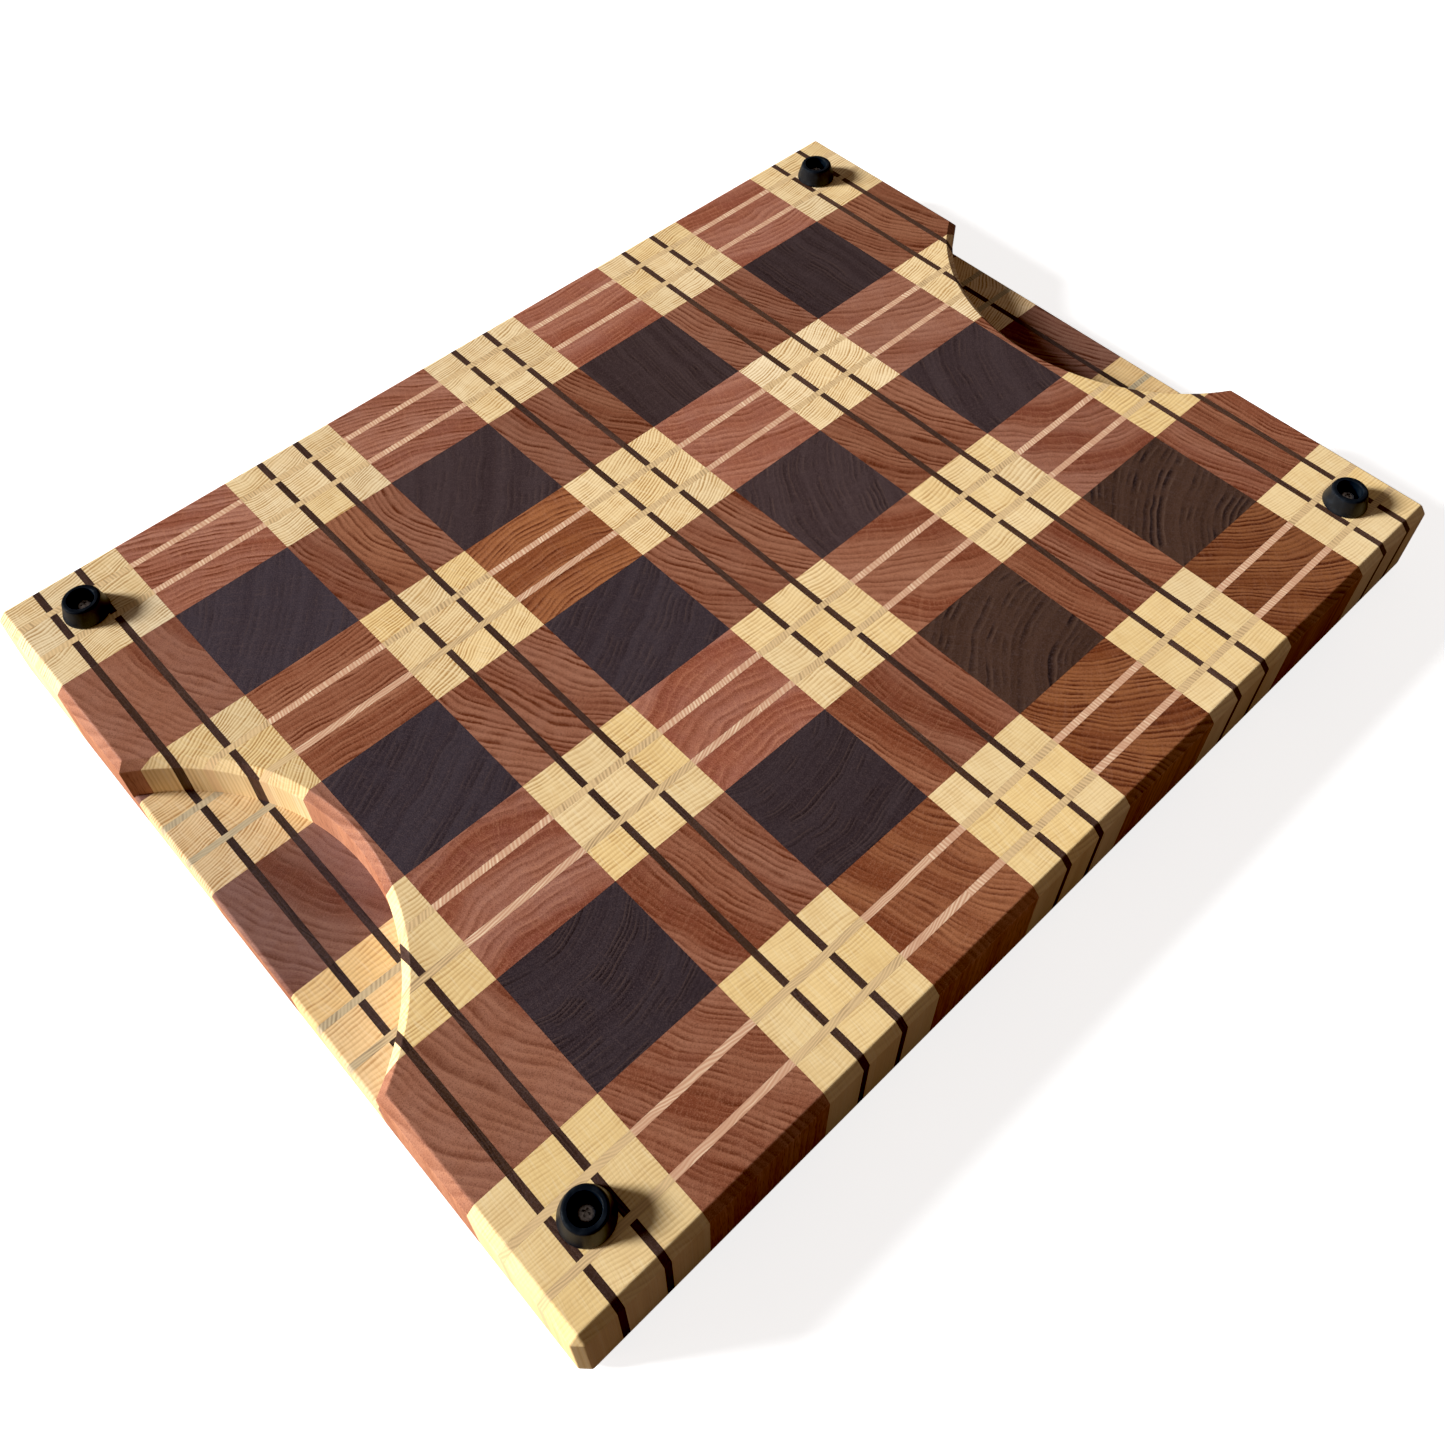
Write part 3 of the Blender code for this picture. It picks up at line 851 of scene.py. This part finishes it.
def board_outline(board):
    """The finished board as one solid with eased edges."""
    bm = bmesh.new()
    add_box(bm, board.low, board.high)
    bmesh.ops.bevel(bm, geom=bm.edges[:], offset=CHAMFER, segments=1, affect="EDGES")
    bmesh.ops.bevel(bm, geom=bm.edges[:], offset=EASED, segments=2, profile=0.5, affect="EDGES")
    outline = link("board_outline", mesh_from("board_outline", bm))
    cutters = [recess_cutter(board, side) for side in (-1, 1)]
    for cutter in cutters:
        cut(outline, "DIFFERENCE", cutter)
    bpy.context.view_layer.update()
    bake_modifiers(outline)
    for cutter in cutters:
        bpy.data.objects.remove(cutter, do_unlink=True)
    return outline


def inset(low, high, board_low, board_high):
    """A block's span: half the glue line comes off an inner side, an outer side runs past the board."""
    at_low = math.isclose(low, board_low, abs_tol=FRAME_GAP)
    at_high = math.isclose(high, board_high, abs_tol=FRAME_GAP)
    low += -PAST if at_low else GLUE_LINE / 2
    high += PAST if at_high else -GLUE_LINE / 2
    return low, high


def block_boxes(board, blocks):
    bm = bmesh.new()
    for block in blocks:
        x_low, x_high = inset(block.low.x, block.high.x, board.low.x, board.high.x)
        y_low, y_high = inset(block.low.y, block.high.y, board.low.y, board.high.y)
        low = Vector((x_low, y_low, board.low.z - PAST))
        add_box(bm, low, Vector((x_high, y_high, board.high.z + PAST)))
    return bm


def outside(block, x):
    """How far x lies outside the block; negative inside it."""
    return max(block.low.x - x, x - block.high.x)


def write_grain(mesh, blocks, seeds, woods):
    """Gives every face its block's wood and its block's pith, grain and look."""
    slots = sorted({block.wood for block in blocks})
    mesh.materials.clear()
    for wood in slots:
        mesh.materials.append(woods[wood])
    values = {"pith": [], "grain": [], "look": []}
    for face in mesh.polygons:
        index = min(range(len(blocks)), key=lambda i: outside(blocks[i], face.center.x))
        block, grain = blocks[index], blocks[index].grain
        middle = (block.low + block.high) / 2 / MM
        lean = math.radians(grain.lean)
        pith = middle + grain.bow * Vector((-math.sin(lean), math.cos(lean)))
        values["pith"] += (pith.x, pith.y, abs(grain.bow))
        values["grain"] += (grain.pitch, seeds[index], grain.sway)
        values["look"] += (grain.contrast, grain.tone, grain.warmth)
        face.material_index = slots.index(block.wood)
    for name, numbers in values.items():
        mesh.attributes.new(name, "FLOAT_VECTOR", "FACE").data.foreach_set("vector", numbers)


def wooden_piece(board, name, blocks, outline, woods, seed):
    """The node's blocks, cut to the outline, with their rings."""
    piece = link(f"wood_{name}", mesh_from(name, block_boxes(board, blocks)))
    cut(piece, "INTERSECT", outline)
    for corner in CORNERS:
        hole = bpy.data.objects.get(f"pilot_{corner}")
        if hole and name == pilot_bar(corner):
            cut(piece, "DIFFERENCE", hole)
    bpy.context.view_layer.update()
    bake_modifiers(piece)
    mesh = piece.data
    mesh.shade_flat()
    rng = random.Random(seed)
    write_grain(mesh, blocks, [round(rng.uniform(0, 90), 2) for _ in blocks], woods)
    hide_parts(name)
    kinds = [block.wood for block in blocks]
    max(kinds, key=kinds.count)
    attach(piece, "root")
    return piece


# ---------------------------------------------------------------- feet, washers and screws


def pilot_bar(corner):
    row = 1 if corner.startswith("front") else ROWS // 2 + 1
    return f"light_bar_{row}b"


def foot_axis(corner):
    low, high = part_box(f"rubber_foot_{corner}")
    return Vector(((low.x + high.x) / 2, (low.y + high.y) / 2, low.z - FIT))


def foot_mesh(corner):
    low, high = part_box(f"rubber_foot_{corner}")
    base, top = (high.x - low.x) / 2, high.z - low.z + FIT
    hole = THREAD_CREST + FIT
    toe = arc((base - FOOT_TOE, FIT + FOOT_TOE), FOOT_TOE, -90, 0, 4)
    outer = arc((FOOT_TOP_RADIUS - FOOT_ROUND, top - FOOT_ROUND), FOOT_ROUND, 8, 90, 10)
    inner = arc((WELL_RADIUS + WELL_LIP, top - WELL_LIP), WELL_LIP, 90, 180, 6)
    profile = [
        (hole, FIT),
        *toe,
        (base - CONE_INSET, CONE_START),
        *outer,
        *inner,
        (WELL_FOOT_RADIUS, WELL_FLOOR + WELL_CORNER),
        (WELL_FOOT_RADIUS - WELL_CORNER, WELL_FLOOR),
        (hole, WELL_FLOOR),
    ]
    return turned_mesh("rubber_foot", profile)


def washer_mesh(corner):
    low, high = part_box(f"foot_washer_{corner}")
    radius = (high.x - low.x) / 2
    base = WELL_FLOOR + FIT
    top = base + WASHER_THICKNESS
    hole = THREAD_CREST + FIT
    profile = [
        (hole, base),
        (radius - WASHER_EDGE, base),
        (radius, base + WASHER_EDGE),
        (radius, top - WASHER_EDGE),
        (radius - WASHER_EDGE, top),
        (hole + WASHER_EDGE, top),
        (hole, top - WASHER_EDGE),
    ]
    return turned_mesh("foot_washer", profile)


def thread_rings(bm, start):
    """Rings of a helical thread, from the neck down to the point. Its first turn rises from the root."""
    rings = []
    for step in range(THREAD_TURNS * THREAD_STEPS + 1):
        z = start - step * THREAD_PITCH / THREAD_STEPS
        rise = min(1.0, step / THREAD_STEPS)
        ring = []
        for side in range(SCREW_SIDES):
            turn = side / SCREW_SIDES
            off_ridge = abs(((start - z) / THREAD_PITCH + turn) % 1.0 * 2 - 1)
            ridge = max(0.0, 1 - off_ridge / RIDGE_WIDTH) * rise
            radius = THREAD_ROOT + (THREAD_CREST - THREAD_ROOT) * ridge
            angle = 2 * math.pi * turn
            ring.append(bm.verts.new((radius * math.cos(angle), radius * math.sin(angle), z)))
        rings.append(ring)
    return rings


def head_profile(head_radius, head_base):
    """(radius, z) of a pan head, from the top of its dome to the neck."""
    band = head_base + HEAD_BAND
    dome = []
    for step in range(DOME_STEPS):
        angle = math.radians(90 - 90 * step / DOME_STEPS)
        radius = head_radius * math.cos(angle) if step else 0
        dome.append((radius, band + (HEAD_HEIGHT - HEAD_BAND) * math.sin(angle)))
    return [
        *dome,
        (head_radius, band),
        (head_radius, head_base + HEAD_EDGE),
        (head_radius - HEAD_EDGE, head_base),
        (THREAD_ROOT, head_base),
    ]


def screw_mesh(corner):
    """A pan head wood screw: domed head with a cross recess, plain neck, helical thread and a point."""
    low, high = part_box(f"foot_screw_{corner}")
    head_radius = (high.x - low.x) / 2
    head_base = WELL_FLOOR + FIT + WASHER_THICKNESS + FIT
    bm = bmesh.new()
    rings = [circle(bm, radius, z, SCREW_SIDES) for radius, z in head_profile(head_radius, head_base)]
    neck = head_base - NECK_LENGTH
    rings += thread_rings(bm, neck)
    rings.append(circle(bm, 0, neck - THREAD_TURNS * THREAD_PITCH - POINT_LENGTH, SCREW_SIDES))
    bridge(bm, zip(rings, rings[1:]), SCREW_SIDES)
    return mesh_from("foot_screw", bm), head_base


def cut_cross(screw, head_base):
    """A cross recess whose slots narrow towards the bottom."""
    top = head_base + HEAD_HEIGHT + CROSS_RISE
    bottom = head_base + HEAD_HEIGHT - CROSS_DEPTH
    cutters = []
    for turn in (0, math.pi / 2):
        bm = bmesh.new()
        bmesh.ops.create_cube(bm, size=1.0)
        for vert in bm.verts:
            deep = vert.co.z < 0
            length_share, width_share = CROSS_TAPER if deep else (1.0, 1.0)
            vert.co.x *= CROSS_LENGTH * length_share
            vert.co.y *= CROSS_WIDTH * width_share
            vert.co.z = bottom if deep else top
        bmesh.ops.rotate(bm, matrix=Matrix.Rotation(turn, 3, "Z"), verts=bm.verts)
        cutter = link("cross_cutter", mesh_from("cross_cutter", bm))
        cut(screw, "DIFFERENCE", cutter)
        cutters.append(cutter)
    bpy.context.view_layer.update()
    bake_modifiers(screw)
    for cutter in cutters:
        bpy.data.objects.remove(cutter, do_unlink=True)
    smooth(screw.data, SCREW_SHARP)


def seat(piece, node, place, turn=0.0):
    """Moves the piece's mesh to its place and hands it to the frame."""
    piece.data.transform(Matrix.Translation(place) @ Matrix.Rotation(turn, 4, "Z"))
    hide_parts(node)
    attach(piece, "root")


def fit_feet():
    rubber = rubber_material()
    black = steel_material("black_steel", (0.035, 0.036, 0.038), (0.016, 0.016, 0.017), (0.35, 0.55))
    steel = steel_material("steel", (0.66, 0.67, 0.68), (0.36, 0.37, 0.38), (0.34, 0.60))
    for corner in CORNERS:
        place = foot_axis(corner)
        foot = link(f"foot_{corner}", foot_mesh(corner), rubber)
        seat(foot, f"rubber_foot_{corner}", place)
        washer = link(f"washer_{corner}", washer_mesh(corner), black)
        seat(washer, f"foot_washer_{corner}", place)
        mesh, head_base = screw_mesh(corner)
        screw = link(f"screw_{corner}", mesh, steel)
        cut_cross(screw, head_base)
        seat(screw, f"foot_screw_{corner}", place, math.radians(SCREW_TURN[corner]))


def add_pilots():
    """Cutters for the screws' pilot holes."""
    depth = NECK_LENGTH + THREAD_TURNS * THREAD_PITCH + POINT_LENGTH
    hole = THREAD_CREST + FIT
    pilots = []
    for corner in CORNERS:
        profile = [(0, -depth), (hole, -depth), (hole, PAST), (0, PAST)]
        pilot = link(f"pilot_{corner}", turned_mesh("pilot", profile, PILOT_SIDES))
        pilot.location = foot_axis(corner)
        pilots.append(pilot)
    return pilots


# ---------------------------------------------------------------- stage


def add_light(name, kind, place, power, colour, gleams):
    """A light that points at the middle of the board: it either lights it or gleams on it."""
    light = bpy.data.lights.new(name, kind)
    light.energy, light.color = power, colour
    obj = bpy.data.objects.new(name, light)
    obj.location = place
    obj.rotation_euler = (-Vector(place)).to_track_quat("-Z", "Y").to_euler()
    obj.visible_glossy = gleams
    obj.visible_diffuse = not gleams
    bpy.context.scene.collection.objects.link(obj)
    return light


def lights():
    """Soft daylight from behind the left end, and a low bright window along that end. The daylight's gleam
    is a weaker light of its own, so that the oiled top isn't all glare when it is seen against the light."""
    for name, power, gleams in (("daylight", DAYLIGHT, False), ("gleam", GLEAM, True)):
        sun = add_light(name, "SUN", SUN_PLACE, power, SUN_COLOUR, gleams)
        sun.angle = math.radians(SUN_ANGLE)
    window = add_light("low_window", "AREA", WINDOW_PLACE, WINDOW_POWER, WINDOW_COLOUR, False)
    window.shape = "RECTANGLE"
    window.size, window.size_y = WINDOW_SIZE


def world():
    """White to the camera, and a dim warm room to everything else."""
    scene = bpy.context.scene
    scene.world = bpy.data.worlds.new("studio")
    scene.world.use_nodes = True
    nodes, links = scene.world.node_tree.nodes, scene.world.node_tree.links
    room = nodes["Background"]
    room.inputs["Color"].default_value = (*ROOM_COLOUR, 1.0)
    room.inputs["Strength"].default_value = ROOM_STRENGTH
    white = nodes.new("ShaderNodeBackground")
    white.inputs["Color"].default_value = (1, 1, 1, 1)
    ray = nodes.new("ShaderNodeLightPath")
    mix = nodes.new("ShaderNodeMixShader")
    links.new(ray.outputs["Is Camera Ray"], mix.inputs[0])
    links.new(room.outputs[0], mix.inputs[1])
    links.new(white.outputs[0], mix.inputs[2])
    links.new(mix.outputs[0], nodes["World Output"].inputs[0])


def floor():
    """A floor that is pale to the camera and throws little light back at the board."""
    bm = bmesh.new()
    bmesh.ops.create_grid(bm, x_segments=1, y_segments=1, size=FLOOR_REACH)
    material, tree, shader = new_material("floor")
    ray = tree.node("ShaderNodeLightPath", {}).outputs["Is Camera Ray"]
    tree.put(shader.inputs["Base Color"], tree.colour(ray, (0.15, 0.10, 0.085), (0.75, 0.75, 0.75)))
    tree.put(shader.inputs["Emission Color"], tree.colour(ray, (0.0, 0.0, 0.0), (0.80, 0.80, 0.80)))
    shader.inputs["Emission Strength"].default_value = 1.0
    shader.inputs["Specular IOR Level"].default_value = 0.0
    obj = link("floor", mesh_from("floor", bm), material)
    obj.location.z = -FLOOR_DROP


def camera():
    data = bpy.data.cameras.new("camera")
    data.lens = CAMERA_LENS
    data.sensor_width = 36.0
    data.shift_y = CAMERA_SHIFT_Y
    obj = bpy.data.objects.new("camera", data)
    obj.location = CAMERA_PLACE
    obj.rotation_euler = [math.radians(angle) for angle in CAMERA_TURN]
    bpy.context.scene.collection.objects.link(obj)
    bpy.context.scene.camera = obj


def picture_tone():
    """A plain transform with slightly deepened blacks, as a camera gives them."""
    view = bpy.context.scene.view_settings
    view.view_transform = "Standard"
    view.use_curve_mapping = True
    view.curve_mapping.black_level = (BLACK_LEVEL, BLACK_LEVEL, BLACK_LEVEL)
    view.curve_mapping.update()


def build(board):
    woods = {
        "maple": maple_material(),
        "red_hardwood": red_hardwood_material(),
        "dark_hardwood": dark_hardwood_material(),
        "pale_strip": pale_strip_material(board),
    }
    outline = board_outline(board)
    helpers = [outline, *add_pilots()]
    for seed, (name, blocks) in enumerate(wooden_nodes(board).items()):
        wooden_piece(board, name, blocks, outline, woods, seed)
    for helper in helpers:
        bpy.data.objects.remove(helper, do_unlink=True)
    fit_feet()


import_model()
build(Board())
world()
lights()
floor()
camera()
picture_tone()
